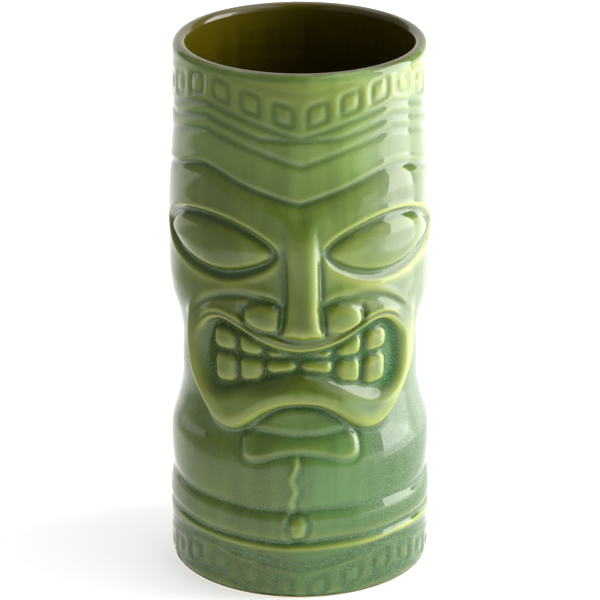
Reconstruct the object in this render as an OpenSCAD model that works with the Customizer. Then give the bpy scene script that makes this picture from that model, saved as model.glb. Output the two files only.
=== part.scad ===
// Tiki mug: a slip-cast stoneware tumbler with a carved face, glazed green outside
// and olive brown inside. The clay and its three glaze coats are separate solids.
// Millimetres, +Z up, origin at the centre of the foot, face towards -Y.

/* [Mug] */
// Height over the lip
mug_h = 175; // [150:1:200]
// Scale of every radius, 1 for a mug 84 across its foot
girth = 1; // [0.9:0.05:1.2]
// Thickness of the cast wall with its glaze
wall = 4.4; // [3.6:0.2:5]
// Thickness of the floor, from the foot recess to the liner glaze
floor_t = 4.9; // [4:0.1:7]
// Depth of the carving, 1 for the full relief
relief_depth = 1; // [0.4:0.1:1]

/* [Glaze] */
// Thickness of each glaze coat
glaze_t = 0.4; // [0.3:0.05:0.5]
// Width of bare clay between the table and the outer glaze
bare_foot = 1; // [0.6:0.1:2]
// Where the outer glaze ends and the liner glaze starts, below the top of the lip
glaze_line = 3.5; // [3:0.5:5]

/* [Foot] */
// Radius of the recess under the foot
recess_r = 34; // [30:1:36]
// Depth of the recess under the foot
recess_d = 1.6; // [1:0.1:2.5]

/* [Hidden] */
$fn = 96;

clay_colour = "wheat";
green_glaze = [0.36, 0.45, 0.20];
olive_glaze = [0.27, 0.24, 0.03];

drawn_h = 175;          // the carving is drawn on a mug of this height
drawn_r = 42;           // and of this radius: a distance round it is 42 times the angle
half_turn = 132;        // distance round from the face to the back
tall = mug_h / drawn_h;
foot_chamfer = 0.6;
arc_step = 15;
lip_land_angle = 75;    // the two arcs of the clay lip stop here, with a narrow flat between
lip_shoulder = 0.6;     // the lip is this much inside the wall below it
floor_corner = 6;
cut_over = 5;           // a cutter runs past the face that it opens by this much

// Rows of the carved wall: [from, to, steps]. They are closest at the mouth and its bite.
row_zones = [[bare_foot, 17, 2], [17, 32, 5], [32, 46, 2], [46, 54, 2], [54, 80.6, 11], [80.6, 83.2, 2],
    [83.2, 103.2, 9], [103.2, 129.2, 8], [129.2, 145.2, 4], [145.2, drawn_h - glaze_line, 1]];
// Columns of one side, the same way. They are closest at the gaps between the teeth.
column_zones = [[0, 1.3, 1], [1.3, 10.2, 4], [10.2, 12.8, 2], [12.8, 20.2, 3], [20.2, 22.8, 2],
    [22.8, 30.2, 3], [30.2, 32.8, 2], [32.8, 44.4, 5], [44.4, 66, 5], [66, half_turn, 7]];

// ---- curves ----

function clamp01(x) = max(0, min(1, x));
function smooth(low, high, x) =
    let (t = clamp01((x - low) / (high - low))) t * t * (3 - 2 * t);
function bump(x, half_width) = 1 - smooth(0, half_width, abs(x));

// Smooth curve through points [x, y] with rising x, read at x.
function slope(p, i) =
    let (a = max(i - 1, 0), b = min(i + 1, len(p) - 1))
    (p[b][1] - p[a][1]) / (p[b][0] - p[a][0]);
function segment_of(p, x, i = 0) = i >= len(p) - 2 || x < p[i + 1][0] ? i : segment_of(p, x, i + 1);
function hermite(p, i, x) =
    let (w = p[i + 1][0] - p[i][0], t = clamp01((x - p[i][0]) / w), u = 1 - t)
    p[i][1] * (1 + 2 * t) * u * u + p[i + 1][1] * (3 - 2 * t) * t * t
        + w * t * u * (slope(p, i) * u - slope(p, i + 1) * t);
function curve(p, x) = hermite(p, segment_of(p, x), x);

// Distance from a point to a path, and to a closed outline with inside positive.
function segment_distance(p, a, b) =
    let (ab = b - a) norm(p - a - clamp01((p - a) * ab / (ab * ab)) * ab);
function path_distance(p, path) =
    min([for (i = [0 : len(path) - 2]) segment_distance(p, path[i], path[i + 1])]);
function crossings(p, path) = len([for (i = [0 : len(path) - 2])
    let (a = path[i], b = path[i + 1])
    if ((a.y > p.y) != (b.y > p.y) && p.x < (b.x - a.x) * (p.y - a.y) / (b.y - a.y) + a.x) 1]);
function outline_distance(p, outline) =
    let (path = concat(outline, [outline[0]]), d = path_distance(p, path))
    crossings(p, path) % 2 == 1 ? d : -d;
// The same, cut short for points far from the outline.
function near_outline(p, outline, centre, reach) =
    norm(p - centre) > reach ? -9 : outline_distance(p, outline);

// ---- the shape before carving ----

body_profile = [[0, 42], [14, 42], [22, 41.7], [32, 41.4], [40, 41.8], [46, 41.6], [54, 39.5],
    [61, 38.1], [70, 37.9], [80, 37.9], [86, 39], [92, 40.7], [98, 41.6], [108, 41.8],
    [120, 41.6], [132, 41.1], [145, 40.5], [158, 40.3], [drawn_h, 40.1]];
function body_r(z) = curve(body_profile, z);

// ---- carving, drawn as [distance from the centre line of the face, height] ----

brow_top = [[0, 133.5], [5, 134.8], [12, 137], [20, 139.4], [28, 141.7], [34, 142.7],
    [42, 141.4], [52, 138], [66, 135]];
brow_bottom = [[0, 116], [5, 118.8], [8, 120.5], [12, 123.2], [18, 125.9], [25, 127.6],
    [33, 128.1], [41, 127], [48, 124.5], [57, 120.5], [66, 118]];
socket = [[6.9, 117.3], [8.2, 120.5], [12, 123.2], [18, 125.9], [25, 127.6], [33, 128.1],
    [41, 127], [48, 124.5], [54, 121.2], [59, 117], [52, 111.6], [46, 109.5], [40, 108.2],
    [33, 107.3], [26, 107.4], [20, 108.4], [15, 110.2], [10, 113.2]];
eye = [[9.2, 117.4], [12, 120.8], [16, 123], [21, 124.7], [27, 125.9], [34, 126.1], [41, 125],
    [47, 122.9], [52, 120.1], [54.8, 117.4], [52, 115], [47, 112.7], [41, 111.1], [34, 110.2],
    [27, 110.3], [21, 111.4], [15, 113.2], [11, 115]];
muzzle = [[-9, 66.6], [-9, 100], [7, 100], [10, 101.8], [15, 102.4], [20, 102.3], [26, 101],
    [31, 98.8], [36, 95.6], [40, 91.8], [42.5, 87], [43.2, 80], [42, 74], [39.5, 68.5],
    [36, 63.5], [31.5, 59.3], [27.5, 57.4], [23.5, 56.9], [20, 57.8], [16.5, 59.8],
    [12.5, 62.7], [8, 65.2], [0, 66.6]];
mouth = [[-9, 76.3], [-9, 84.6], [0, 84.6], [6, 85.4], [12, 87.3], [17, 89.7], [21.5, 91.8],
    [26, 92.8], [30, 92], [33.5, 89.6], [36, 86.3], [37.6, 82], [37.6, 77], [36.2, 72.3],
    [33.7, 69], [30, 67], [26, 66.6], [21, 67.6], [16, 69.6], [11, 71.8], [7, 73.9],
    [3.5, 75.5], [0, 76.3]];
nostril = [[7.7, 92.6], [7.4, 96], [7.8, 99.2], [10, 100.8], [14, 100.8], [17.2, 99.2],
    [18.8, 96.6], [18.2, 94], [15, 92.2], [10.8, 91.3]];
cheek_line = [[7, 100], [10, 101.8], [15, 102.4], [20, 102.3], [26, 101], [31, 98.8],
    [36, 95.6], [40, 91.8]];
chin_lens = [[-9, 55], [-9, 62.6], [0, 65], [6, 64.2], [11, 62.3], [15.5, 59.9], [19.2, 57.2],
    [18, 56.4], [12, 55.8], [6, 55.2], [0, 55]];
chin_plate = [[-9, 50], [-9, 55.2], [0, 55.1], [8, 55.4], [17.2, 56.4], [19, 55.4], [19.7, 53],
    [19.6, 50], [18.6, 48], [16, 47.2], [12.5, 47.6], [7, 49.2], [0, 50]];
string = [[-0.7, 48.5], [-1.6, 44], [-2.6, 40], [-1.8, 37], [-2.6, 31]];
nose_lean = [[88, 1.2], [100, 0.9], [124, 0.2]];
nose_half_width = [[88, 5.8], [91.5, 6.4], [95, 5.8], [100, 5.3], [108, 5], [124, 4.9]];
nose_height = [[90, 2.9], [95, 2.8], [105, 2.3], [118, 1.6], [124, 0.6]];
knot = [-0.7, 25.4];

// Teeth of one side: [from, to, bottom of the lower tooth, top of the upper one].
teeth = [[0.7, 10.8, 76.4, 85], [12.2, 20.6, 72.6, 89.6], [22.4, 30.6, 71.8, 89.8]];
bite = 81.9;
bite_gap = 1.4;

function box_distance(p, low, high) = min(p.x - low.x, high.x - p.x, p.y - low.y, high.y - p.y);
function tooth_distance(p) = max([for (t = teeth) max(
    box_distance(p, [t[0], t[2]], [t[1], bite - bite_gap / 2]),
    box_distance(p, [t[0], bite + bite_gap / 2], [t[1], t[3]]))]);

function brow(p) =
    let (top = curve(brow_top, p.x), d = min(top - p.y, p.y - curve(brow_bottom, p.x)))
    1.4 * smooth(-0.5, 4, d) * (1 - 0.75 * smooth(40, 60, p.x))
        - bump(p.y - top, 4) * (1 - smooth(60, 90, p.x));
function eyes(p) =
    2.2 * smooth(-1, 3, near_outline(p, eye, [32, 118], 26))
        - 2 * smooth(-2, 1.8, near_outline(p, socket, [33, 118], 30));
function nose(p) =
    let (w = curve(nose_half_width, p.y), sides = smooth(89, 92, p.y) * smooth(122, 117, p.y))
    curve(nose_height, p.y) * smooth(-1, 2.2, min(w - p.x, p.y - 89.3 - p.x / 4, 123 - p.y))
        - 1.2 * bump(p.x - w - 1.2, 2) * sides;
function face_muzzle(p) =
    (42 - body_r(p.y)) * smooth(-2.8, 2.2, near_outline(p, muzzle, [18, 80], 44))
        - 1.2 * bump(path_distance(p, cheek_line), 2.2);
function face_mouth(p) =
    let (d = near_outline(p, mouth, [14, 81], 34))
    0.6 * bump(d + 2.8, 2.8) - 2.8 * smooth(-1.9, 1.5, d)
        + (d > 0 ? 2 * smooth(-0.8, 1.2, min(tooth_distance(p), d)) : 0);
function nostrils(p) =
    let (d = near_outline(p, nostril, [12, 96.5], 10))
    d < -3 ? 0 : 1.2 * smooth(-0.4, 2.4, d) - 0.8 * bump(d + 0.5, 1.8);
function raised_panel(p, outline, centre, reach, height) =
    let (d = near_outline(p, outline, centre, reach))
    d < -3 ? 0 : height * smooth(-0.4, 1.8, d) - 0.7 * bump(d + 0.7, 2);
function chin(p) =
    raised_panel(p, chin_lens, [5, 60], 20, 1) + raised_panel(p, chin_plate, [7, 52], 18, 0.8);
function belt(z) =
    0.8 * bump(z - 25, 6.5) - 0.9 * bump(z - 30.5, 2.2) - 1.1 * bump(z - 19.6, 1.9);
function belt_knot(q) =
    let (d = norm([(q.x - knot.x) / 0.72, q.y - knot.y]))
    abs(q.x) > 8 || abs(q.y - knot.y) > 8 ? 0 : 1.2 * bump(d, 4.5) - 0.6 * bump(d - 5.5, 2);
function waist_string(q) =
    abs(q.x) > 6 || q.y > 51 || q.y < 29 ? 0 : 0.6 * bump(path_distance(q, string), 1.4);

function on_face(p) = p.x < 66 && p.y > 44 && p.y < 148;
function carving(s, z) =
    let (p = [abs(s), z], leaning = [abs(s - curve(nose_lean, z)), z])
    belt(z) + belt_knot([s, z]) + waist_string([s, z]) + brow(p) + (!on_face(p) ? 0 :
        eyes(p) + nose(leaning) + nostrils(leaning) + face_muzzle(p) + face_mouth(p) + chin(p));

// Radius of the glazed outside at a distance s round from the face and a height z.
function outside_r(s, z) = girth * (body_r(z) + relief_depth * carving(s, z));
function point_at(s, z, inset = 0) =
    let (r = outside_r(s, z) - inset, angle = 360 * s / (2 * half_turn) - 90)
    [r * cos(angle), r * sin(angle), z * tall];

// ---- the carved wall as a grid of rings ----

function steps_of(zones) = [for (k = zones, i = [0 : k[2] - 1]) k[0] + (k[1] - k[0]) * i / k[2]];
rows = concat(steps_of(row_zones), [drawn_h - glaze_line]);
one_side = steps_of(column_zones);
columns = concat([for (i = [len(one_side) - 1 : -1 : 1]) -one_side[i]], one_side, [half_turn]);

function ring(z, inset) = [for (s = columns) point_at(s, z, inset)];
function foot_ring_points() = [for (p = ring(bare_foot, glaze_t + foot_chamfer)) [p.x, p.y, 0]];
function joined(list) = [for (part = list) each part];
// Triangles between ring a and ring b, facing outwards when b is above a. The diagonals on one
// side of the face mirror those on the other, and a band that runs downwards swaps them back.
function band(a, b, n, down) = [for (i = [0 : n - 1])
    let (j = (i + 1) % n, p = a * n, q = b * n)
    each (i < n / 2 - 1) != down
        ? [[p + i, q + i, p + j], [p + j, q + i, q + j]]
        : [[p + i, q + i, q + j], [p + i, q + j, p + j]]];

// A solid between the rings of upwards, and those of downwards if it is a shell.
module ring_stack(upwards, downwards = []) {
    n = len(upwards[0]);
    m = len(upwards);
    last = m + len(downwards) - 1;
    sides = [for (k = [0 : last - 1]) each band(k, k + 1, n, k >= m)];
    ends = last < m
        ? [[for (i = [0 : n - 1]) i], [for (i = [n - 1 : -1 : 0]) last * n + i]]
        : band(last, 0, n, false);
    polyhedron(joined(concat(upwards, downwards)), concat(sides, ends), convexity = 10);
}

// ---- the hollow, turned about the axis ----

lip_z = mug_h - (wall / 2 - lip_shoulder / 2);
lip_r = girth * body_r(drawn_h) - wall / 2;
lip_round = wall / 2 - lip_shoulder / 2;
floor_z = recess_d + floor_t;

function inner_r(z) = girth * body_r(z / tall) - wall;
function lip_arc(from, to, r) = [for (a = [from : sign(to - from) * arc_step : to])
    lip_point(a, r)];
function lip_point(a, r) = [lip_r + r * cos(a), lip_z + r * sin(a)];
// Inside surface from the lip down to the middle of the floor, moved into the clay by inset.
function inside_line(inset) = concat(
    [for (z = [floor(lip_z - 4) : -6 : floor_z + floor_corner + 3]) [inner_r(z) + inset, z]],
    [for (a = [0 : -arc_step : -90]) [
        inner_r(floor_z + floor_corner) - floor_corner + (floor_corner + inset) * cos(a),
        floor_z + floor_corner + (floor_corner + inset) * sin(a)]],
    [[0, floor_z - inset]]);
clay_lip = lip_round - glaze_t;
land_z = lip_point(lip_land_angle, clay_lip).y + 0.01;
clay_hollow = concat(lip_arc(180 - lip_land_angle, 180, clay_lip), inside_line(glaze_t));
clay_lip_outside = concat([[lip_r + clay_lip, mug_h - glaze_line]], lip_arc(0, lip_land_angle, clay_lip),
    [[lip_point(lip_land_angle, clay_lip).x, land_z]]);

module hollow() {
    top_x = clay_hollow[0].x;
    rotate_extrude()
        polygon(concat([[0, mug_h + cut_over], [top_x, mug_h + cut_over]], clay_hollow));
}

module lip() {
    buried_z = mug_h - glaze_line - 1.5;
    rotate_extrude()
        polygon(concat([[0, buried_z], [lip_r + clay_lip, buried_z]], clay_lip_outside, [[0, land_z]]));
}

// ---- nodes ----

module clay_body() {
    color(clay_colour)
    difference() {
        union() {
            ring_stack(concat([foot_ring_points()], [for (z = rows) ring(z, glaze_t)]));
            lip();
        }
        hollow();
        translate([0, 0, -cut_over]) cylinder(r = recess_r, h = cut_over + recess_d);
    }
}

module outer_glaze() {
    outside = [for (z = rows) ring(z, 0)];
    inside = [for (i = [len(rows) - 1 : -1 : 0]) ring(rows[i], glaze_t)];
    color(green_glaze) ring_stack(outside, inside);
}

module liner_glaze() {
    glazed = concat([[lip_r + lip_round, mug_h - glaze_line]], lip_arc(0, 180, lip_round),
        inside_line(0));
    clay_side = concat(clay_lip_outside, [[clay_hollow[0].x, land_z]], clay_hollow);
    color(olive_glaze) rotate_extrude()
        polygon(concat(glazed, [for (i = [len(clay_side) - 1 : -1 : 0]) clay_side[i]]));
}

module base_glaze() {
    color(green_glaze)
    translate([0, 0, recess_d - glaze_t]) cylinder(r = recess_r, h = glaze_t);
}

clay_body();
outer_glaze();
liner_glaze();
base_glaze();
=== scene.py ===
"""Tiki mug: a slip-cast stoneware tumbler with a carved face, glazed green outside and olive inside.

The carving is drawn on the unrolled wall. A point on it has a distance round from the middle of the
face, positive to +X, and a height above the table, both in millimetres. The wall is pressed out of
flat drawings as a sheet of radii, rolled up, and given its coats of glaze.
"""

import math

import bpy
import numpy as np
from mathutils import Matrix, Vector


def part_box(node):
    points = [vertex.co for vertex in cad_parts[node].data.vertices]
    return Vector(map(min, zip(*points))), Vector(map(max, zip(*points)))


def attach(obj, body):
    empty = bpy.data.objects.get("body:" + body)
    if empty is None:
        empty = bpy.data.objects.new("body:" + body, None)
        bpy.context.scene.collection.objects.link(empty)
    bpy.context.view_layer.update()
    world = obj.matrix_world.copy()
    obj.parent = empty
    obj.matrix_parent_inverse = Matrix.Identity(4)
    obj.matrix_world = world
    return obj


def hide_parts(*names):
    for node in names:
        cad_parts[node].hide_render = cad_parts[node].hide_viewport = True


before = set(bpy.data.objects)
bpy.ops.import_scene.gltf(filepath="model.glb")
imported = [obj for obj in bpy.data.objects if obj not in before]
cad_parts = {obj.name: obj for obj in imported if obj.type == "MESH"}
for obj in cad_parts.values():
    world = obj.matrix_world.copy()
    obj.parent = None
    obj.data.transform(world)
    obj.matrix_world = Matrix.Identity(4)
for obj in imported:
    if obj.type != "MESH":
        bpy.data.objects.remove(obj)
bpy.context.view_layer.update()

MM = 0.001

# ---- sizes, in millimetres, and angles in radians ----

DRAWN_R = 42.0  # a distance round the mug is this times the angle
HALF_TURN = 132.0
MUG_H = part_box("liner_glaze")[1].z / MM
RIM_R = 40.1
WALL = 4.4
GLAZE = 0.4
STAMP_DEPTH = 0.38
BARE_FOOT = 0.7
FOOT_ROUND = 0.6
GLAZE_LINE = 172.4  # the green coat ends and the liner coat starts
RECESS_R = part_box("base_glaze")[1].x / MM
RECESS_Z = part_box("base_glaze")[1].z / MM
FLOOR_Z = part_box("liner_glaze")[0].z / MM + GLAZE
FLOOR_CORNER = 6.0
JAW_R = 42.0
MELT = 0.55  # melted glaze rounds detail off over this distance
BACK_STEP = 4  # the clay and the back of the coat have one ring for this many of the face's
FOOT_ROLL = 2.0  # the wall turns in over this height above the bare foot
RIM_BLEND = 3  # and meets the round rim over this height below the end of the green coat
BAND_ZONES = (18, 142)  # the stamped bands are below the first height and above the second
SMOOTH_ANGLE = math.radians(60)
COAT_SMOOTH_ANGLE = math.radians(75)

BODY_PROFILE = [
    (0, 42.0), (14, 42.0), (22, 41.7), (32, 41.4), (40, 41.8), (46, 41.6), (54, 39.5), (61, 38.1),
    (70, 37.9), (80, 37.9), (86, 39.0), (92, 40.7), (98, 41.6), (108, 41.8), (120, 41.6),
    (132, 41.1), (145, 40.5), (158, 40.3), (175, 40.1),
]

# Rows and columns of the wall's mesh: (to, step), from the foot up and from the face round.
ROW_STEPS = [(18, 0.62), (34, 0.75), (46, 1.2), (56, 0.75), (104, 0.62), (146, 0.75), (GLAZE_LINE, 0.62)]
COLUMN_STEPS = [(44, 0.5), (66, 1.0), (HALF_TURN, 1.65)]

# Outlines and lines of the carving, one side of the face: (distance round, height).
BROW_TOP = [(0, 133.5), (5, 134.8), (12, 137), (20, 139.4), (28, 141.7), (34, 142.7), (42, 141.4),
            (52, 138), (66, 135)]
SOCKET = [(6.9, 117.3), (8.2, 120.3), (12, 123.2), (18, 125.9), (25, 127.6), (33, 128.1), (41, 127),
          (48, 124.5), (54, 121.2), (59, 117), (54, 112.6), (47, 109.7), (40, 107.9), (33, 107.1),
          (26, 107.1), (20, 108.1), (15, 110), (10, 113)]
EYE = [(9.2, 117.4), (9.9, 119.2), (12.5, 121.2), (16.5, 123.2), (21, 124.7), (27, 125.9), (34, 126.1),
       (41, 125), (47, 122.9), (52, 120.1), (54.8, 117.4), (52, 114.6), (47, 112), (41, 110.2),
       (34, 109.3), (27, 109.4), (21, 110.4), (15.5, 112.2), (11.5, 114.3), (9.6, 115.8)]
MUZZLE = [(-9, 66.6), (-9, 108), (20, 108), (34, 104), (41, 97), (44, 90), (44.6, 82), (43, 74),
          (40, 68.5), (36, 63.5), (31.5, 59.3), (27.5, 57.4), (23.5, 56.9), (20, 57.8), (16.5, 59.8),
          (12.5, 62.7), (8, 65.2), (4, 66.3), (0, 66.6)]
MOUTH = [(-4, 76.6), (-9, 80), (-4, 84.6), (0, 84.6), (6, 85.4), (12, 87.3), (17, 89.7), (21.5, 91.8),
         (26, 93), (30, 92.3), (33.3, 90), (35.6, 86.5), (36.8, 82), (37, 77), (36, 72.8),
         (33.6, 69.8), (30, 68.4), (26, 68.4), (21, 70), (16, 71.9), (11, 73.5), (7, 75), (3.5, 76.1),
         (0, 76.6)]
NOSTRIL = [(7.7, 92.6), (7.4, 96), (7.8, 99.2), (10, 100.8), (14, 100.8), (17.2, 99.2), (18.8, 96.6),
           (18.2, 94), (15, 92.2), (10.8, 91.3)]
CHEEK_LINE = [(6.4, 100), (8, 101), (11, 102), (15, 102.4), (20, 102.3), (26, 101), (31, 98.8),
              (36, 95.6), (41, 91.5)]
NOSE_LINE = [(0, 87.8), (4.7, 88.4), (9.4, 89.8), (14, 91.2), (18.2, 93), (20, 96), (19.4, 99.2)]
CHIN_LENS = [(-9, 55), (-9, 62.6), (0, 65), (6, 64.2), (11, 62.3), (15.5, 59.9), (19.2, 57.2),
             (18, 56.4), (12, 55.8), (6, 55.2), (0, 55)]
CHIN_PLATE = [(-9, 50), (-9, 55.2), (0, 55.1), (8, 55.4), (14, 56), (17.2, 56.4), (19, 55.4), (19.7, 53),
              (19.6, 50), (18.6, 48), (16, 47.2), (12.5, 47.6), (7, 49.2), (0, 50)]
CORD = [(-1.9, 48.3), (-1.4, 46.3), (-2.3, 43.5), (-3.1, 41), (-2, 38.6), (-1.7, 37), (-2.9, 34.5),
        (-3, 32.6), (-2.3, 30.5)]
CORD_GROOVE = [(0, 49), (0, 45), (-0.9, 42.4), (-1.1, 40.5), (-0.4, 38.4), (0, 36.2), (-1, 33.6),
               (-0.9, 30.5)]
KNOT = (-0.7, 25.2)
BELT_Z = 23.7
BELT_GROOVE_Z = 30.6
FOOT_GROOVE_Z = 19.7
LEDGE_Z = 17.8
LIP_LINE = 1.75  # the line in the upper lip is this far outside the mouth
FACE_WIDTH = 66  # the face's own features end here, one side of it
FACE_HEIGHTS = (44, 148)
NOSE_LEAN = [(88, 1.2), (100, 0.9), (124, 0.2)]
NOSE_HALF_WIDTH = [(88, 5.8), (91.5, 6.4), (95, 5.8), (100, 5.3), (108, 5), (124, 4.9)]
NOSE_HEIGHT = [(88, 3.0), (95, 2.75), (105, 2.5), (116, 2.3), (123, 1.5), (129, 0)]

# Teeth of one side: (from, to, bottom of the lower tooth, top of the upper one), and the bite.
TEETH = [(0.6, 11.1, 76.4, 86), (12.2, 20.9, 72.6, 89.6), (22.1, 31, 71.6, 89.8)]
BITE = 81.8
BITE_GAP = 0.9

# Drifts of the carved lines, round the mug and up it, each a sum of waves: (swing, waves in a turn,
# height of one radian, phase).
DRIFT_ROUND = [(0.30, 3, 11, 0.4), (0.18, 7, -6.5, 2.1)]
DRIFT_UP = [(0.28, 4, 17, 1.3), (0.16, 9, 8, 0.2)]


# ---- curves and distances, on arrays ----

def smooth(low, high, x):
    """0 below low, 1 above high, and an S between them."""
    t = np.clip((x - low) / (high - low), 0, 1)
    return t * t * (3 - 2 * t)


def ridge(distance, width):
    """1 on a line and nothing some two widths from it. Its negative is a groove."""
    return np.exp(-((distance / width) ** 2))


def pillow(distance, width):
    """0 at an edge, rising steeply and then levelling off at width inside it."""
    return 1 - (1 - np.clip(distance / width, 0, 1)) ** 2


def curve(points, x):
    """A smooth curve through points of rising x, read at x."""
    px, py = np.array(points, float).T
    slopes = np.gradient(py, px)
    i = np.clip(np.searchsorted(px, x, side="right") - 1, 0, len(px) - 2)
    width = px[i + 1] - px[i]
    t = np.clip((x - px[i]) / width, 0, 1)
    u = 1 - t
    ends = py[i] * (1 + 2 * t) * u * u + py[i + 1] * (3 - 2 * t) * t * t
    return ends + width * t * u * (slopes[i] * u - slopes[i + 1] * t)


def spline(points, closed=False, steps=5):
    """Points of a smooth line through the given ones."""
    p = np.array(points, float)
    n = len(p)
    line = []
    for k in range(n if closed else n - 1):
        a, b, c, d = (p[(k + j) % n] if closed else p[min(max(k + j, 0), n - 1)] for j in (-1, 0, 1, 2))
        for t in np.arange(steps) / steps:
            line.append(b + 0.5 * t * (c - a + t * (2 * a - 5 * b + 4 * c - d + t * (3 * (b - c) + d - a))))
    line.append(p[0] if closed else p[-1])
    return np.array(line)


def line_distance(line, s, z):
    """Distance from every point (s, z) to a line of points."""
    nearest = np.full(s.shape, np.inf)
    for a, b in zip(line[:-1], line[1:]):
        ab = b - a
        t = np.clip(((s - a[0]) * ab[0] + (z - a[1]) * ab[1]) / max(ab @ ab, 1e-9), 0, 1)
        nearest = np.minimum(nearest, (s - a[0] - t * ab[0]) ** 2 + (z - a[1] - t * ab[1]) ** 2)
    return np.sqrt(nearest)


def inside_distance(outline, s, z):
    """Distance to a closed outline, positive inside it."""
    line = spline(outline, closed=True)
    odd = np.zeros(s.shape, bool)
    for a, b in zip(line[:-1], line[1:]):
        if a[1] != b[1]:
            crosses = (a[1] > z) != (b[1] > z)
            odd ^= crosses & (s < (b[0] - a[0]) * (z - a[1]) / (b[1] - a[1]) + a[0])
    return np.where(odd, 1, -1) * line_distance(line, s, z)


# ---- the carving: each function gives how far its features stand out of the wall, in millimetres ----

def brow(a, z, socket):
    """A heavy brow between a groove above it and the eye sockets below it."""
    top = curve(BROW_TOP, a)
    below_top = top - z
    bulge = 1.4 * pillow(below_top, 8.5) * smooth(110, 124, z) * (1 - 0.75 * smooth(40, 60, a))
    groove = -0.8 * ridge(below_top - 0.2, 0.9) + 0.3 * ridge(below_top + 1.5, 0.8)
    rim = 0.4 * ridge(socket + 0.9, 0.8) * smooth(6, 9, a)
    return (bulge + groove + rim) * (1 - smooth(58, 84, a))


def eyes(a, z, socket):
    """Almond pillows in sunk sockets."""
    inside = inside_distance(EYE, a, z)
    edge = 0.6 + 0.4 * smooth(113, 108, z)
    sunk = -1.7 * smooth(-1, 1, np.where(socket < 0, socket / edge, socket / 0.9))
    return sunk + 1.1 * smooth(-0.4, 0.9, inside) + 1.6 * pillow(inside, 7.5)


def nose(a, z):
    width = curve(NOSE_HALF_WIDTH, z)
    inside = np.minimum(width - a, (z - 89.2 - a * 0.2) * 0.9)
    bridge = curve(NOSE_HEIGHT, z) * (0.2 * pillow(inside + 0.2, 1.2) + 0.8 * pillow(inside, 3.9))
    sides = -0.9 * ridge(a - width - 0.7, 0.65) * smooth(89.5, 92, z) * smooth(122, 118.5, z)
    return bridge + sides


def cheeks(a, z):
    line = spline(CHEEK_LINE)
    below = curve(CHEEK_LINE, a) - z
    fade = 1 - 0.9 * smooth(33, 41, a)
    groove = -0.75 * ridge(line_distance(line, a, z), 0.85)
    swell = 0.4 * ridge(below + 2.6, 1.6) * smooth(7, 10, a)
    return (groove + swell) * fade


def muzzle(a, z, inside):
    """The jaw and the lips stand out of the neck as one mass."""
    foot = 1.4 + 2.2 * smooth(22, 30, a)
    slope = smooth(-1, 1, np.where(inside < 0, inside / foot, inside / 1.2))
    step = (JAW_R - curve(BODY_PROFILE, z)) * smooth(106, 99, z) * slope
    lower_lip = 0.7 * ridge(inside - 3.6, 3) * smooth(76, 70, z) * smooth(30, 20, a)
    outline = -0.4 * ridge(inside + 1.4, 0.8) * smooth(26, 20, a) * smooth(72, 68, z)
    return step + lower_lip + outline


def along_upper_lip(a, z):
    """1 on the upper lip, and less towards the corners of the mouth."""
    return smooth(82, 86, z) * smooth(38, 31, a)


def mouth(a, z):
    """A grin with bared teeth: thin lips along its top, and slopes down into it at its corners."""
    inside = inside_distance(MOUTH, a, z)
    outer = 0.7 + 2.6 * smooth(91, 83, z)
    inner = 1.4 + 1.8 * smooth(27, 36, a)
    depth = -3.0 * smooth(-1, 1, np.where(inside < 0, inside / outer, inside / inner))
    lips = 0.8 * ridge(inside + 0.7, 0.6) + 0.8 * ridge(inside + 2.8, 0.7)
    lips -= 1.0 * ridge(inside + LIP_LINE, 0.5)
    lips *= along_upper_lip(a, z)
    tooth = teeth(a, z, inside)
    return depth + lips + 1.3 * smooth(-0.5, 1.0, tooth) + 0.7 * pillow(tooth, 3.5)


def teeth(a, z, inside):
    """Distance into the nearest tooth."""
    tooth = np.full(a.shape, -9.0)
    for left, right, bottom, top in TEETH:
        sides = np.minimum(a - left, right - a)
        lower = rounded_corner(sides, np.minimum(z - bottom, BITE - BITE_GAP / 2 - z))
        higher = rounded_corner(sides, np.minimum(top - z, z - BITE - BITE_GAP / 2))
        tooth = np.maximum(tooth, np.maximum(lower, higher))
    return rounded_corner(tooth, inside - 0.9)


def pooled_and_shaded_mouth(s, z):
    """1 where the mouth's recess behind the teeth is darkened, partly as glaze run together there and
    partly as painted shade of the recess, and zero on the teeth and outside the mouth. It reaches
    farther on the right."""
    s, z = hand_wobble(s, z)
    a = np.abs(s)
    inside = inside_distance(MOUTH, a, z)
    corner = smooth(24, 34, a) * smooth(64, 70, z) * smooth(94, 88, z)
    reach = 0.4 + corner * np.where(s > 0, 0.5, -1.9)
    reach -= 2.4 * smooth(4, 10, s) * smooth(32, 27, s) * smooth(79, 75, z)
    return smooth(-0.8, 0.8, inside + reach - 1) * smooth(0.4, -0.4, teeth(a, z, inside))


def olive_lines_and_painted_lip_reflection(s, z):
    """1 in the thin dark olive lines of glaze under the nose and in the upper lip, and in a band on top of
    the lower lip that is a painted reflection of the dark in front of the mug."""
    s, z = hand_wobble(s, z)
    a = np.abs(s)
    inside = inside_distance(MOUTH, a, z)
    under_nose = ridge(line_distance(spline(NOSE_LINE), np.abs(s - curve(NOSE_LEAN, z)), z), 0.6)
    upper_lip = ridge(inside + LIP_LINE, 0.5) * along_upper_lip(a, z)
    # painted reflection: the lower lip's up-facing slope darkened as if it mirrored the dark in front
    lower_lip = smooth(-5.2, -3.6, inside) * smooth(0.2, -0.8, inside) * smooth(78, 76, z) * smooth(22, 10, a)
    return np.maximum(np.maximum(under_nose, 0.8 * upper_lip), 0.75 * lower_lip)


def rounded_corner(p, q, radius=2.8):
    """The smaller of two inside distances, rounded where they meet."""
    corner = radius - np.hypot(np.clip(radius - p, 0, None), np.clip(radius - q, 0, None))
    return np.minimum(np.minimum(p, q), corner)


def nostrils(a, z):
    inside = inside_distance(NOSTRIL, a, z)
    crease = line_distance(spline(NOSE_LINE), a, z)
    wing = 0.6 * smooth(-0.3, 0.8, inside) + 0.9 * pillow(inside, 4)
    return wing - 0.45 * ridge(inside + 0.6, 0.7) - 1.1 * ridge(crease, 0.55)


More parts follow.
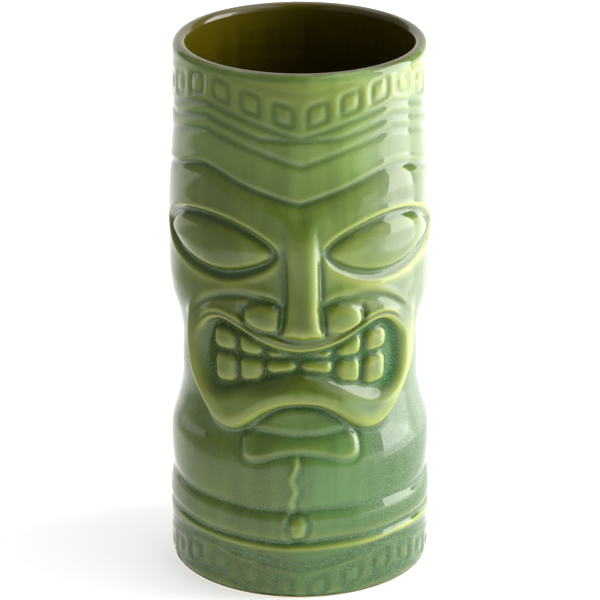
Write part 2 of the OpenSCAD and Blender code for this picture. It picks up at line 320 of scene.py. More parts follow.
def chin(a, z):
    lens = inside_distance(CHIN_LENS, a, z)
    plate = inside_distance(CHIN_PLATE, a, z)
    return sum(0.6 * smooth(-0.4, 0.7, d) + 0.3 * pillow(d, 3) - 0.4 * ridge(d + 0.7, 0.8)
               for d in (lens, plate))


def belt(s, z):
    """A rounded belt with a knot, a ledge under it, and a cord that hangs down to it from the chin."""
    band = 0.62 * np.clip(1 - ((z - BELT_Z) / np.where(z > BELT_Z, 6.6, 3.6)) ** 2, 0, 1)
    grooves = -0.7 * ridge(z - BELT_GROOVE_Z, 1.5) - 0.95 * ridge(z - FOOT_GROOVE_Z, 0.95)
    grooves += 0.4 * ridge(z - LEDGE_Z, 0.8)
    around_knot = np.hypot((s - KNOT[0]) / 0.74, z - KNOT[1])
    knot = 0.8 * pillow(3.7 - around_knot, 2.6) - 0.65 * ridge(around_knot - 4.7, 0.85)
    knot += 0.2 * ridge(around_knot - 6.4, 0.8)
    string = 0.8 * ridge(line_distance(spline(CORD), s, z), 0.85)
    string -= 0.5 * ridge(line_distance(spline(CORD_GROOVE), s, z), 0.7)
    return band + grooves + knot + string * smooth(29.5, 31.5, z)


def hand_wobble(s, z):
    """Small drifts of the carved lines, as the hand that cut the model left them."""
    turn = s / DRAWN_R
    ds, dz = (sum(swing * np.sin(waves * turn + z / rise + phase) for swing, waves, rise, phase in drift)
              for drift in (DRIFT_ROUND, DRIFT_UP))
    return s + ds, z + dz


def carving(s, z):
    s, z = hand_wobble(s, z)
    a = np.abs(s)
    socket = inside_distance(SOCKET, a, z)
    face = inside_distance(MUZZLE, a, z)
    relief = belt(s, z) + brow(a, z, socket)
    leaning = np.abs(s - curve(NOSE_LEAN, z))
    parts = eyes(a, z, socket) + nose(leaning, z) + nostrils(leaning, z) + cheeks(a, z)
    parts += muzzle(a, z, face) + mouth(a, z) + chin(a, z)
    on_face = (a < FACE_WIDTH) & (z > FACE_HEIGHTS[0]) & (z < FACE_HEIGHTS[1])
    return relief + np.where(on_face, parts, 0)


def thin_rims(s, z):
    """1 where the glaze has run thin: on the jaw's edge, below the eyes, and on the ledge under the
    belt."""
    s, z = hand_wobble(s, z)
    a = np.abs(s)
    face = inside_distance(MUZZLE, a, z)
    jaw = smooth(-0.6, 1.0, face) * smooth(7.5, 3.5, face) * smooth(94, 82, z) * smooth(14, 24, a)
    below_eye = 0.7 * ridge(inside_distance(SOCKET, a, z) + 2.2, 1.5) * smooth(114, 110, z) * smooth(6, 9, a)
    return np.maximum(np.maximum(jaw, below_eye), ridge(z - LEDGE_Z - 0.1, 0.8))


# ---- the wall as a grid of rings ----

def steps(zones, start):
    values = [start]
    for stop, step in zones:
        count = max(1, round((stop - values[-1]) / step))
        values += list(np.linspace(values[-1], stop, count + 1)[1:])
    return np.array(values)


HEIGHTS = steps(ROW_STEPS, BARE_FOOT)
ONE_SIDE = steps(COLUMN_STEPS, 0)
AROUND = np.concatenate([-ONE_SIDE[-2:0:-1], ONE_SIDE])
ANGLES = AROUND / DRAWN_R


def rings(radii, heights):
    """Points in metres of rings with a radius for every column, or one radius a ring."""
    grid = (len(heights), len(ANGLES))
    radii, z = (np.broadcast_to(np.asarray(values, float).reshape(len(heights), -1), grid)
                for values in (radii, heights))
    return np.stack([radii * np.sin(ANGLES), -radii * np.cos(ANGLES), z], axis=-1) * MM


def shell(name, loops, material, caps=(False, False)):
    """A mesh object through rings of points. Without caps the last ring joins the first one. A cap
    closes the first or the last ring with a flat fan."""
    count, n = loops.shape[:2]
    points = loops.reshape(-1, 3)
    ring_pairs = [(k, k + 1) for k in range(count - 1)]
    if not any(caps):
        ring_pairs.append((count - 1, 0))
    i = np.arange(n)
    j = (i + 1) % n
    faces = [np.stack([a * n + i, a * n + j, b * n + j, b * n + i], axis=1) for a, b in ring_pairs]
    faces = np.concatenate(faces).tolist()
    points = points.tolist()
    for cap, ring, turn in ((caps[0], 0, -1), (caps[1], count - 1, 1)):
        if cap:
            points.append([0, 0, points[ring * n][2]])
            centre = len(points) - 1
            faces += [[ring * n + int(p), ring * n + int(q), centre][::turn] for p, q in zip(i, j)]
    mesh = bpy.data.meshes.new(name)
    mesh.from_pydata(points, [], faces)
    mesh.materials.append(material)
    mesh.shade_smooth()
    piece = bpy.data.objects.new(name, mesh)
    bpy.context.collection.objects.link(piece)
    return piece


def add_attribute(piece, name, values):
    attribute = piece.data.attributes.new(name, "FLOAT", "POINT")
    attribute.data.foreach_set("value", np.asarray(values, np.float32).ravel())


def vertex_grid(piece, rows):
    """A piece's first rings of vertices, in metres, as a grid."""
    co = np.empty(len(piece.data.vertices) * 3, np.float32)
    piece.data.vertices.foreach_get("co", co)
    return co.reshape(-1, 3)[: rows * len(AROUND)].reshape(rows, len(AROUND), 3).astype(float)


def wall_radii(coat):
    """Radii in millimetres of the outside of the coat, ring by ring."""
    return np.hypot(*np.moveaxis(vertex_grid(coat, len(HEIGHTS))[..., :2], -1, 0)) / MM


# ---- node trees ----

class Nodes:
    """Fills one node tree. add() makes a node: its settings first, then its sockets."""

    def __init__(self, tree):
        self.tree = tree
        tree.nodes.clear()

    def add(self, kind, settings=None, inputs=None):
        node = self.tree.nodes.new(kind)
        for name, value in (settings or {}).items():
            if name == "stops":
                fill_ramp(node.color_ramp, value)
            else:
                setattr(node, name, value)
        for name, value in (inputs or {}).items():
            if isinstance(value, Socket):
                self.tree.links.new(value.socket, node.inputs[name])
            else:
                node.inputs[name].default_value = value
        return node

    def out(self, kind, output=0, settings=None, inputs=None):
        return Socket(self, self.add(kind, settings, inputs).outputs[output])

    def attribute(self, name):
        return self.out("ShaderNodeAttribute", "Fac", {"attribute_name": name})

    def noise(self, vector, scale, detail=2.0, roughness=0.5):
        return self.out("ShaderNodeTexNoise", "Fac", None,
                        {"Vector": vector, "Scale": scale, "Detail": detail, "Roughness": roughness})

    def stretch(self, vector, factors):
        return self.out("ShaderNodeVectorMath", 0, {"operation": "MULTIPLY"}, {0: vector, 1: factors})

    def axes(self, vector, names="XYZ"):
        return [self.out("ShaderNodeSeparateXYZ", axis, None, {0: vector}) for axis in names]

    def mix(self, factor, a, b):
        """Colour a where factor is 0, colour b where it is 1."""
        return self.out("ShaderNodeMix", 2, {"data_type": "RGBA"}, {0: factor, 6: a, 7: b})

    def ramp(self, factor, stops):
        return self.out("ShaderNodeValToRGB", "Color", {"stops": stops}, {"Fac": factor})


class Socket:
    """A number on its way through a node tree. Arithmetic on it adds Math nodes."""

    def __init__(self, nodes, socket):
        self.nodes = nodes
        self.socket = socket

    def math(self, operation, *others, first=None):
        values = (self,) + others if first is None else (first, self)
        return self.nodes.out("ShaderNodeMath", 0, {"operation": operation}, dict(enumerate(values)))

    def __add__(self, other):
        return self.math("ADD", other)

    def __sub__(self, other):
        return self.math("SUBTRACT", other)

    def __rsub__(self, other):
        return self.math("SUBTRACT", first=other)

    def __mul__(self, other):
        return self.math("MULTIPLY", other)

    def __truediv__(self, other):
        return self.math("DIVIDE", other)

    __radd__ = __add__
    __rmul__ = __mul__

    def __abs__(self):
        return self.math("ABSOLUTE")

    def smooth(self, low, high):
        """0 at low, 1 at high, and an S between them. low may be the larger."""
        first, last = (1.0, 0.0) if low > high else (0.0, 1.0)
        inputs = {0: self, 1: min(low, high), 2: max(low, high), 3: first, 4: last}
        return self.nodes.out("ShaderNodeMapRange", 0, {"interpolation_type": "SMOOTHSTEP"}, inputs)


def fill_ramp(ramp, stops):
    """Gives a colour ramp its stops, (place, colour) in rising order."""
    while len(ramp.elements) < len(stops):
        ramp.elements.new(0.5)
    for element, (place, colour) in zip(ramp.elements, stops):
        element.position = place
        element.color = (*colour, 1)


def srgb(red, green, blue):
    """Linear colour of an 8-bit screen colour."""
    return tuple(c / 12.92 if c <= 0.04045 else ((c + 0.055) / 1.055) ** 2.4
                 for c in (red / 255, green / 255, blue / 255))


# ---- stamped bands, by Geometry Nodes ----

BAND_INPUTS = ["Pitch", "Square Size", "Line Width", "Depth", "Squares Height", "Rise", "Roundness",
               "Line 1 Height", "Line 1 Rise", "Line 2 Height", "Line 2 Rise", "Line 2 Floor",
               "Line 3 Height", "Line 3 Rise", "Line 4 Height", "Line 4 Rise"]

BAND_ATTRIBUTES = ("around", "height", "outside")
FAINT_LINE = 0.4  # the fourth line's share of the depth


def stamped_band_tree():
    """Presses a zigzag band into the outside of the wall: ring-shaped squares in a row, and lines
    beside them. Everything repeats four times round the mug."""
    tree = bpy.data.node_groups.new("stamped_band", "GeometryNodeTree")
    tree.interface.new_socket("Geometry", in_out="INPUT", socket_type="NodeSocketGeometry")
    for name in BAND_INPUTS:
        tree.interface.new_socket(name, in_out="INPUT", socket_type="NodeSocketFloat")
    tree.interface.new_socket("Material", in_out="INPUT", socket_type="NodeSocketMaterial")
    tree.interface.new_socket("Geometry", in_out="OUTPUT", socket_type="NodeSocketGeometry")
    nodes = Nodes(tree)
    group = nodes.add("NodeGroupInput")
    given = {name: Socket(nodes, group.outputs[name]) for name in BAND_INPUTS}
    wall = Socket(nodes, group.outputs["Geometry"])
    glaze = Socket(nodes, group.outputs["Material"])
    around, height, outside = (
        nodes.out("GeometryNodeInputNamedAttribute", "Attribute", {"data_type": "FLOAT"}, {"Name": name})
        for name in BAND_ATTRIBUTES)

    quarter = HALF_TURN / 2
    fold = abs((around + 4.5 * quarter).math("FLOORED_MODULO", quarter) - quarter / 2)
    share = fold / (quarter / 2)
    arch = (share * (math.pi / 2)).math("SINE")
    climb = share + (arch - share) * given["Roundness"]

    def groove(distance):
        scaled = distance / given["Line Width"]
        return (scaled * scaled * -1).math("EXPONENT")

    def line(number):
        return given[f"Line {number} Height"] + climb * given[f"Line {number} Rise"]

    cell = (around + 2 * HALF_TURN).math("FLOORED_MODULO", given["Pitch"]) - given["Pitch"] / 2
    up = height - given["Squares Height"] - climb * given["Rise"]
    square = (cell.math("POWER", 4) + up.math("POWER", 4)).math("POWER", 0.25)
    pressed = groove(square - given["Square Size"] / 2)
    second = line(2).math("MAXIMUM", given["Line 2 Floor"])
    for distance in (height - line(1), height - second, height - line(3)):
        pressed = pressed.math("MAXIMUM", groove(distance))
    pressed = pressed.math("MAXIMUM", groove(height - line(4)) * FAINT_LINE)

    outwards = nodes.stretch(nodes.out("GeometryNodeInputPosition", 0), (1, 1, 0))
    outwards = nodes.out("ShaderNodeVectorMath", 0, {"operation": "NORMALIZE"}, {0: outwards})
    depth = pressed * outside * given["Depth"] * -MM
    offset = nodes.out("ShaderNodeVectorMath", 0, {"operation": "SCALE"}, {0: outwards, "Scale": depth})
    moved = nodes.out("GeometryNodeSetPosition", 0, None, {"Geometry": wall, "Offset": offset})
    real = nodes.out("GeometryNodeRealizeInstances", 0, None, {"Geometry": moved})
    done = nodes.out("GeometryNodeSetMaterial", 0, None, {"Geometry": real, "Material": glaze})
    nodes.add("NodeGroupOutput", None, {"Geometry": done})
    return tree


def press_band(piece, tree, material, values):
    """Runs the band tree on a piece with these inputs and keeps the result as its plain mesh."""
    modifier = piece.modifiers.new("band", "NODES")
    modifier.node_group = tree
    inputs = {item.name: item.identifier for item in tree.interface.items_tree if item.in_out == "INPUT"}
    for name, value in {**values, "Material": material}.items():
        modifier[inputs[name]] = value
    bpy.context.view_layer.update()
    result = bpy.data.meshes.new_from_object(piece.evaluated_get(bpy.context.evaluated_depsgraph_get()))
    piece.modifiers.remove(modifier)
    piece.data = result


UPPER_BAND = {
    "Pitch": 11.0, "Square Size": 6.2, "Line Width": 1.25, "Depth": STAMP_DEPTH,
    "Squares Height": 161.0, "Rise": 7.9, "Roundness": 0.25,
    "Line 1 Height": 154.5, "Line 1 Rise": 8.6,
    "Line 2 Height": 150.2, "Line 2 Rise": 8.6, "Line 2 Floor": 154.0,
    "Line 3 Height": 145.5, "Line 3 Rise": 9.0,
    "Line 4 Height": 168.6, "Line 4 Rise": 5.0,
}
LOWER_BAND = {
    "Pitch": 11.0, "Square Size": 5.8, "Line Width": 1.2, "Depth": STAMP_DEPTH,
    "Squares Height": 3.0, "Rise": 7.5, "Roundness": 0.25,
    "Line 1 Height": 10.2, "Line 1 Rise": 6.0,
    "Line 2 Height": 12.2, "Line 2 Rise": 4.6, "Line 2 Floor": 0.0,
    "Line 3 Height": -2.2, "Line 3 Rise": 8.0,
    "Line 4 Height": -9.0, "Line 4 Rise": 0.0,
}


# ---- materials ----

def new_material(name):
    material = bpy.data.materials.new(name)
    material.use_nodes = True
    return material, Nodes(material.node_tree)


def finish_material(nodes, colour, roughness, normal=None, **inputs):
    inputs = {"Base Color": colour, "Roughness": roughness, **inputs}
    shader = nodes.add("ShaderNodeBsdfPrincipled", None, inputs)
    if normal is not None:
        nodes.tree.links.new(normal.socket, shader.inputs["Normal"])
    nodes.add("ShaderNodeOutputMaterial", None, {"Surface": Socket(nodes, shader.outputs[0])})


OLIVE = (0.132, 0.184, 0.016, 1)
GREEN = (0.215, 0.360, 0.085, 1)
DEEP_GREEN = (0.115, 0.245, 0.062, 1)
THIN = (0.310, 0.370, 0.055, 1)
POOLED = (0.046, 0.092, 0.028, 1)
DARK_GLAZE_AND_PAINTED_SHADE = (0.068, 0.098, 0.006, 1)
CAVITY_POOL_AND_SHADE_LEFT = (0.060, 0.066, 0.012, 1)
CAVITY_POOL_AND_SHADE_RIGHT = (0.050, 0.120, 0.045, 1)
SPECK = (0.100, 0.290, 0.110, 1)
LIP = (0.100, 0.080, 0.004, 1)
LINER = (0.040, 0.026, 0.0010, 1)
LINER_THIN = (0.110, 0.088, 0.003, 1)
PALE_GREEN = (0.30, 0.45, 0.11, 1)
FOOT_OLIVE_AND_SHADE = (0.03, 0.06, 0.0, 1)
BLACK = (0, 0, 0, 1)
STREAK_TINTS = (0.78, 0.8, 0.72, 1), (1.14, 1.1, 1.1, 1)  # of the darkest and the lightest streak
GLAZE_ROUGHNESS = 0.4
GLOSS = {"Specular IOR Level": 0.0, "Coat Roughness": 0.02, "Coat IOR": 1.55}
RUNS = (1, 1, 0.12)  # stretches a pattern down the wall
ROWS = (0.15, 0.15, 1)  # stretches a pattern round the wall


def bare_green(nodes, place):
    """The colour of the outer glaze where it is even, its broad drifts, how far it is in the lower
    part, and its height in millimetres. It is olive towards -X, and greener towards +X and above the
    face. From the middle towards +X it is darkened by up to half, against the key light there."""
    x, z = (axis / MM for axis in nodes.axes(place, "XZ"))
    broad = nodes.noise(place, 28, 3.0)
    streaks = nodes.noise(nodes.stretch(place, RUNS), 190, 3.0)
    across = (x + (streaks - 0.5) * 34 + (broad - 0.5) * 30).smooth(-28, 28)
    low = (z + (broad - 0.5) * 50).smooth(86, 40)
    greener = across * 0.6 + z.smooth(132, 150) * 0.3 + broad.smooth(0.45, 0.6) * 0.15
    base = nodes.mix(greener.math("MINIMUM", 1), OLIVE, GREEN)
    base = nodes.mix(low * across.smooth(0.0, 0.8), base, DEEP_GREEN)
    tint = nodes.mix((streaks * 0.5 + broad * 0.5).smooth(0.38, 0.62), *STREAK_TINTS)
    multiply = {"data_type": "RGBA", "blend_type": "MULTIPLY"}
    base = nodes.out("ShaderNodeMix", 2, multiply, {0: 1.0, 6: base, 7: tint})
    base = nodes.mix(z.smooth(125, 150) * 0.3, base, PALE_GREEN)
    # darker and more olive towards the foot: partly the glaze's colour, partly painted shade by the table
    base = nodes.mix(z.smooth(34, 18) * 0.28, base, FOOT_OLIVE_AND_SHADE)
    base = nodes.mix(x.smooth(8, 32) * 0.5, base, BLACK)
    return base, broad, low, z


def lip_tint(nodes, place):
    """One on the brown top and inside of the lip, and zero on its outer side."""
    flat = nodes.stretch(place, (1, 1, 0))
    radius = nodes.out("ShaderNodeVectorMath", 1, {"operation": "LENGTH"}, {0: flat}) / MM
    runs = nodes.noise(place, 120, 2.0)
    return (radius + (runs - 0.5) * 1.6).smooth(RIM_R - 0.5, RIM_R - 2.0)


def green_glaze():
    """Glossy reactive glaze: olive to green, thin and yellow on edges, and pooled in grooves where
    it darkens and breaks into specks. Over glaze gathered on ledges and in the mouth, painted shade
    darkens its up-facing slopes and the mouth's recess, and a painted reflection darkens the top of the lower
    lip."""
    material, nodes = new_material("green_glaze")
    place = nodes.out("ShaderNodeTexCoord", "Object")
    edge = nodes.attribute("edge")
    pool = nodes.attribute("pool")
    x = nodes.axes(place, "X")[0] / MM
    base, broad, low, z = bare_green(nodes, place)
    fine = nodes.noise(place, 1400, 2.0, 0.6)
    specks = nodes.noise(place, 2100, 1.0, 0.5)

    shelf = nodes.attribute("shelf")
    hollow = nodes.attribute("hollow")
    grain = (fine - 0.5) * 0.9
    pooled = (pool + (fine - 0.5) * 0.12).smooth(0.04, -0.45)
    pooled = pooled.math("MAXIMUM", (nodes.attribute("stamp") + grain).smooth(0.2, 1.0) * 0.75)
    pooled = pooled * (1 - x.smooth(2, 28) * 0.35)
    crest = (pool + (broad - 0.5) * 0.25).smooth(0.03, 0.5) * 0.55
    thin = (edge + (broad - 0.5) * 0.04).smooth(0.02, 0.2) * 0.28 + crest + z.smooth(158, 168) * 0.5
    thin = thin + nodes.attribute("thin_rim") * 0.55
    thin = thin + (shelf * -1).smooth(0.15, 0.7) * 0.3
    colour = nodes.mix(thin.math("MINIMUM", 1), base, THIN)
    # up-facing slopes darkened: partly glaze gathered on ledges, partly painted shade where they mirror the
    # dim room above
    shaded = (shelf + (broad - 0.5) * 0.2).smooth(0.15, 1.0) * (1 - nodes.attribute("thin_rim") * 0.7)
    colour = nodes.mix(shaded * 0.65, colour, DARK_GLAZE_AND_PAINTED_SHADE)
    colour = nodes.mix(pooled * 0.63, colour, POOLED)
    # the dark olive lines, and the painted reflection on top of the lower lip
    colour = nodes.mix(nodes.attribute("dark_line") * 0.85, colour, DARK_GLAZE_AND_PAINTED_SHADE)
    # painted shade in the mouth's recess, over glaze pooled there; its gloss coat is thinned below as well
    cavity = nodes.mix(x.smooth(-12, 12), CAVITY_POOL_AND_SHADE_LEFT, CAVITY_POOL_AND_SHADE_RIGHT)
    colour = nodes.mix(hollow * 0.8, colour, cavity)
    crowding = pooled * 0.3 + low * 0.4 + hollow * 0.3 + 0.08
    speckled = (specks + (fine - 0.5) * 0.35).smooth(0.5, 0.64) * crowding
    colour = nodes.mix(speckled, colour, SPECK)
    colour = nodes.mix(lip_tint(nodes, place) * z.smooth(171, 172), colour, LIP)

    ripple = nodes.noise(place, 90, 2.0)
    normal = nodes.out("ShaderNodeBump", 0, None, {"Strength": 0.2, "Distance": 0.0006, "Height": ripple})
    finish_material(nodes, colour, GLAZE_ROUGHNESS, normal, **{"Coat Weight": 1 - hollow * 0.75, **GLOSS})
    return material


def olive_glaze():
    """Glossy liner glaze: dark olive brown, lighter where it thins towards the lip, and running
    into the green one over the outer side of the lip."""
    material, nodes = new_material("olive_glaze")
    place = nodes.out("ShaderNodeTexCoord", "Object")
    base, _, _, z = bare_green(nodes, place)
    runs = nodes.noise(nodes.stretch(place, RUNS), 220, 3.0)
    rows = nodes.noise(nodes.stretch(place, ROWS), 260, 2.0)
    thin = (z + (runs - 0.5) * 22 + (rows - 0.5) * 22).smooth(138, 178)
    colour = nodes.mix(thin, LINER, LINER_THIN)
    colour = nodes.mix(z.smooth(169, 172), colour, LIP)
    colour = nodes.mix((1 - lip_tint(nodes, place)) * z.smooth(166, 170), colour, base)
    finish_material(nodes, colour, GLAZE_ROUGHNESS, None, **{"Coat Weight": 1.0, **GLOSS})
    return material


def stoneware():
    """Bare fired clay: buff, with fine specks."""
    material, nodes = new_material("stoneware")
    place = nodes.out("ShaderNodeTexCoord", "Object")
    grog = nodes.noise(place, 1600, 3.0, 0.7)
    buff = [(0.3, srgb(176, 158, 128)), (0.55, srgb(212, 196, 166)), (0.75, srgb(226, 214, 188))]
    colour = nodes.ramp(grog, buff)
    normal = nodes.out("ShaderNodeBump", 0, None, {"Strength": 0.4, "Distance": 0.0002, "Height": grog})
    finish_material(nodes, colour, 0.85, normal)
    return material


# ---- pieces ----

def blur_matrix(places, sigma, period=None):
    """Rows of weights that average values at uneven places over a distance of sigma."""
    gap = np.abs(places[:, None] - places[None, :])
    if period:
        gap = np.minimum(gap, period - gap)
        spacing = np.minimum((np.roll(places, -1) - np.roll(places, 1)) % period, period)
    else:
        spacing = np.gradient(places)
    weights = np.exp(-0.5 * (gap / sigma) ** 2) * spacing
    return weights / weights.sum(axis=1, keepdims=True)


def softened(radii, sigma):
    """The wall with its detail rounded off over a distance of sigma, as melted glaze rounds it."""
    return blur_matrix(HEIGHTS, sigma) @ radii @ blur_matrix(AROUND, sigma, 2 * HALF_TURN).T


# The glaze reads the wall less the wall smoothed over these distances, and the slope of the wall
# smoothed over the last one.
GLAZE_REACH = {"edge": 0.8, "pool": 1.7}
SHELF_REACH = 0.9
BACK_ROWS = np.unique(np.append(np.arange(0, len(HEIGHTS), BACK_STEP), len(HEIGHTS) - 1))


def clay_radii(outside):
    """Radii of the clay under the green coat, on every fourth row: the coat's own thickness under
    the lowest point near it, and deeper where the bands are pressed in."""
    lowest = outside.copy()
    for rows in range(-BACK_STEP, BACK_STEP + 1):
        lowest = np.minimum(lowest, outside[np.clip(np.arange(len(HEIGHTS)) + rows, 0, len(HEIGHTS) - 1)])
    lowest = np.minimum(lowest, np.minimum(np.roll(lowest, 1, axis=1), np.roll(lowest, -1, axis=1)))
    banded = (HEIGHTS < BAND_ZONES[0]) | (HEIGHTS > BAND_ZONES[1])
    lowest -= GLAZE + np.where(banded, STAMP_DEPTH, 0)[:, None]
    return lowest[BACK_ROWS]


def outer_coat(outside, clay, material):
    """The green coat: its face with the bands pressed in, its back on the clay, and the attributes
    that its glaze reads."""
    tree = stamped_band_tree()
    grid = np.concatenate([rings(outside, HEIGHTS), rings(clay, HEIGHTS[BACK_ROWS])[::-1]])
    coat = shell("outer_glaze_coat", grid, material)
    face = np.arange(len(grid)) < len(HEIGHTS)
    heights = grid[..., 2] / MM
    add_attribute(coat, "around", np.broadcast_to(AROUND, heights.shape))
    add_attribute(coat, "height", heights)
    add_attribute(coat, "outside", np.broadcast_to(face[:, None], heights.shape))
    before = wall_radii(coat)
    press_band(coat, tree, material, UPPER_BAND)
    press_band(coat, tree, material, LOWER_BAND)
    pressed = wall_radii(coat)
    reliefs = {name: pressed - softened(pressed, sigma) for name, sigma in GLAZE_REACH.items()}
    reliefs["shelf"] = -np.gradient(softened(pressed, SHELF_REACH), HEIGHTS, axis=0)
    reliefs["stamp"] = (before - pressed) / STAMP_DEPTH
    reliefs["hollow"] = pooled_and_shaded_mouth(*np.meshgrid(AROUND, HEIGHTS))
    reliefs["dark_line"] = olive_lines_and_painted_lip_reflection(*np.meshgrid(AROUND, HEIGHTS))
    reliefs["thin_rim"] = thin_rims(*np.meshgrid(AROUND, HEIGHTS))
    for name, relief in reliefs.items():
        values = np.zeros(heights.shape)
        values[: len(HEIGHTS)] = relief
        add_attribute(coat, name, values)
    for name in BAND_ATTRIBUTES:
        coat.data.attributes.remove(coat.data.attributes[name])
    coat.data.set_sharp_from_angle(angle=COAT_SMOOTH_ANGLE)
    return coat


def inner_profile(inset):
    """(radius, height) of the cup's inside, from the lip down to just short of the middle of the
    floor, or of the clay behind it when moved in by inset."""
    lip = WALL / 2
    lip_z = MUG_H - lip
    line = [(RIM_R - lip + (lip - inset) * math.cos(t), lip_z + (lip - inset) * math.sin(t))
            for t in np.linspace(0, math.pi, 19)]
    corner_z = FLOOR_Z + FLOOR_CORNER
    for z in np.arange(lip_z - 4, corner_z + 2, -3):
        line.append((float(curve(BODY_PROFILE, z)) - WALL + inset, z))
    corner_r = float(curve(BODY_PROFILE, corner_z)) - WALL - FLOOR_CORNER
    bend = FLOOR_CORNER + inset
    line += [(corner_r + bend * math.cos(t), corner_z - bend * math.sin(t))
             for t in np.linspace(0, math.pi / 2, 9)]
    return line + [(r, FLOOR_Z - inset) for r in (20.0, 10.0, 1.0)]


def liner_coat(material):
    """The olive coat over the lip and down the inside. It has a hole of 1 mm radius in the middle
    of the cup's floor, where its face and its back join."""
    face = [(RIM_R, GLAZE_LINE)] + inner_profile(0)
    back = [(RIM_R - GLAZE, GLAZE_LINE)] + inner_profile(GLAZE)
    radii, heights = np.array(face + back[::-1]).T
    coat = shell("liner_glaze_coat", rings(radii[:, None], heights), material)
    coat.data.set_sharp_from_angle(angle=SMOOTH_ANGLE)
    return coat


def casting(clay, material):
    """The clay: bare foot, carved wall, lip, cup, and the recess under the floor."""
    foot_r = float(curve(BODY_PROFILE, 0)) - GLAZE
    outside = rings(clay, HEIGHTS[BACK_ROWS])
    under = [(RECESS_R, RECESS_Z), (RECESS_R, 0.3), (RECESS_R + 0.3, 0.0), (foot_r - 1.2, 0.0),
             (foot_r - 0.6, 0.15), (foot_r - 0.2, 0.5)]
    top = [(RIM_R - GLAZE, GLAZE_LINE)] + inner_profile(GLAZE)
    below, above = (rings(*np.array(profile).T) for profile in (under, top))
    piece = shell("clay_casting", np.concatenate([below, outside, above]), material, caps=(True, True))
    piece.data.set_sharp_from_angle(angle=SMOOTH_ANGLE)
    return piece


def foot_recess_coat(material):
    radii = [RECESS_R - 0.02, RECESS_R - 0.02, RECESS_R - 0.8]
    heights = [RECESS_Z, RECESS_Z - GLAZE * 0.5, RECESS_Z - GLAZE]
    loops = rings(np.array(radii)[:, None], np.array(heights))[::-1]
    coat = shell("base_glaze_coat", loops, material, caps=(True, True))
    coat.data.set_sharp_from_angle(angle=SMOOTH_ANGLE)
    return coat


def stand_in(piece, node):
    """Puts a piece in the place of a CAD node."""
    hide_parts(node)
    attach(piece, "root")


def build_mug():
    s, z = np.meshgrid(AROUND, HEIGHTS)
    outside = softened(curve(BODY_PROFILE, z) + carving(s, z), MELT)
    outside -= FOOT_ROUND * (1 - smooth(0, FOOT_ROLL, z - BARE_FOOT)) ** 2
    outside += (RIM_R - outside) * smooth(GLAZE_LINE - RIM_BLEND, GLAZE_LINE, z)
    clay = clay_radii(outside)
    green = green_glaze()
    clay_piece = casting(clay, stoneware())
    outer = outer_coat(outside, clay, green)
    liner = liner_coat(olive_glaze())
    recess = foot_recess_coat(green)
    stand_in(clay_piece, "clay_body")
    stand_in(outer, "outer_glaze")
    stand_in(liner, "liner_glaze")
    stand_in(recess, "base_glaze")


# ---- studio, in metres ----

FLOOR_HALF = 6.0
FLOOR_TOP = -0.0001  # just under the foot ring, so that the two don't share a plane
FLOOR_GLOW = {"near": 0.5, "lit": 1.75, "patch": 3.4}
ROOM, IN_FRONT, COVE, OVERHEAD, RIGHT = 0.24, -0.22, 0.9, 1.5, 2.3  # strengths of the surroundings
CAMERA_BACK = 1.1
CAMERA_UP = 0.5184
CAMERA_TILT = 21.442  # degrees below level
LENS = 220.1
SENSOR = 36


def grey(value):
    return (value, value, value, 1)


def build_floor():
    """A pale floor. It is dimmer in front of the mug and to its left, and it glows elsewhere, most on
    the right."""
    mesh = bpy.data.meshes.new("floor")
    corners = [(-1, -1), (1, -1), (1, 1), (-1, 1)]
    mesh.from_pydata([(i * FLOOR_HALF, j * FLOOR_HALF, FLOOR_TOP) for i, j in corners], [], [(0, 1, 2, 3)])
    material, nodes = new_material("pale_floor")
    x, y = nodes.axes(nodes.out("ShaderNodeTexCoord", "Object"), "XY")
    near = y.smooth(-0.45, -0.12) * x.smooth(-0.24, -0.12).math("MAXIMUM", y.smooth(0.12, 0.24))
    lit = x.smooth(0.08, 0.22) * (y + x * 0.9).smooth(-0.07, 0.17)
    colour = nodes.mix(near, grey(0.6), grey(0.9))
    glow = nodes.mix(near, BLACK, grey(FLOOR_GLOW["near"]))
    glow = nodes.mix(lit, glow, grey(FLOOR_GLOW["lit"]))
    patch = x.smooth(0.17, 0.21) * x.smooth(0.62, 0.55) * abs(y / x - 0.05).smooth(0.45, 0.3)
    glow = nodes.mix(patch, glow, grey(FLOOR_GLOW["patch"]))
    finish_material(nodes, colour, 0.7, None, **{"Emission Color": glow, "Emission Strength": 1.0})
    mesh.materials.append(material)
    floor = bpy.data.objects.new("floor", mesh)
    bpy.context.collection.objects.link(floor)


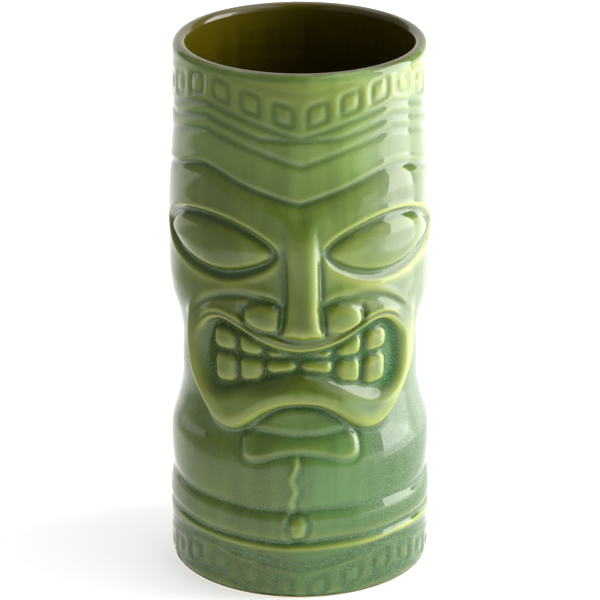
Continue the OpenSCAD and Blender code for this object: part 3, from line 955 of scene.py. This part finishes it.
def softbox(name, azimuth, distance, width, bottom, top, radiance):
    """An upright rectangular light that faces the mug's axis, between two heights above the table.
    Azimuth 0 is in front of the mug, and 90 is at +X."""
    light = bpy.data.lights.new(name, "AREA")
    light.shape = "RECTANGLE"
    light.size, light.size_y = width, top - bottom
    light.energy = radiance * math.pi * width * (top - bottom)
    turn = math.radians(azimuth)
    lamp = bpy.data.objects.new(name, light)
    lamp.location = (distance * math.sin(turn), -distance * math.cos(turn), (bottom + top) / 2)
    lamp.rotation_euler = (math.radians(90), 0, turn)
    bpy.context.collection.objects.link(lamp)


def build_world():
    """A dim room with a white cove behind the mug, light above it and on its right, and a tall dark
    patch in front."""
    world = bpy.data.worlds.new("studio")
    world.use_nodes = True
    bpy.context.scene.world = world
    nodes = Nodes(world.node_tree)
    x, y, z = nodes.axes(nodes.out("ShaderNodeTexCoord", "Generated"))
    overhead = z.smooth(0.62, 0.85) * x.smooth(0.16, 0.3).math("MAXIMUM", y.smooth(0.2, 0.4))
    cove = y.smooth(0.7, 0.8)
    glow = y.smooth(-0.85, -0.1) * x.smooth(0.5, 0.6) * y.smooth(0.42, 0.34) * z.smooth(0.75, 0.55)
    dark = (y * -1).smooth(0.15, 0.3) * abs(x).smooth(0.42, 0.3) * z.smooth(0.96, 0.9)
    strength = ROOM + dark * IN_FRONT + cove * COVE + overhead * OVERHEAD + glow * RIGHT
    light = nodes.out("ShaderNodeBackground", 0, None, {"Color": (1, 1, 1, 1), "Strength": strength})
    nodes.add("ShaderNodeOutputWorld", None, {"Surface": light})


def build_camera():
    """The lens looks down on the mug from in front, far enough away to keep its sides nearly parallel."""
    data = bpy.data.cameras.new("camera")
    data.sensor_width = SENSOR
    data.lens = LENS
    camera = bpy.data.objects.new("camera", data)
    camera.location = (0, -CAMERA_BACK, CAMERA_UP)
    camera.rotation_euler = (math.radians(90 - CAMERA_TILT), 0, 0)
    bpy.context.collection.objects.link(camera)
    bpy.context.scene.camera = camera


bpy.context.scene.view_settings.view_transform = "Standard"
build_camera()
build_mug()
build_floor()
build_world()
softbox("key", azimuth=94, distance=0.6, width=0.4, bottom=0.0, top=0.7, radiance=5.0)
